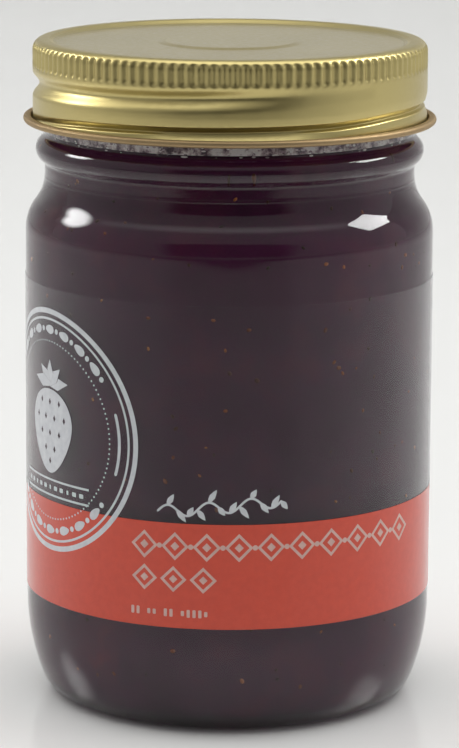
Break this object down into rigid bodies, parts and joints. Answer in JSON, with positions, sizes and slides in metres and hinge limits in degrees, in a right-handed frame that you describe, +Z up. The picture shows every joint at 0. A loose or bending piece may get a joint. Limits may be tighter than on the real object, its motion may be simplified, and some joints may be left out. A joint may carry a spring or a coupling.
{
  "type": "jam jar",
  "caption": "Round glass jar of dark fruit jam with a knurled gold metal screw cap and a clear wrap label that carries an orange band and a round badge.",
  "frame": {"origin": "centre of the ring the jar stands on", "axes": "+Z up along the jar's axis; -Y faces the front of the label, +X to its right"},
  "size_m": [0.079, 0.079, 0.1272],
  "materials": {
    "glass": "clear polished container glass",
    "jam": "dark translucent fruit jam, wet and glossy, stands in for food",
    "label_film": "clear printed film with an orange band and pale grey print",
    "cap_metal": "satin gold lacquered tinplate"
  },
  "bodies": {
    "root": {"jar": "glass", "jam": "jam", "label": "label_film", "lid": "cap_metal"}
  },
  "joints": []
}
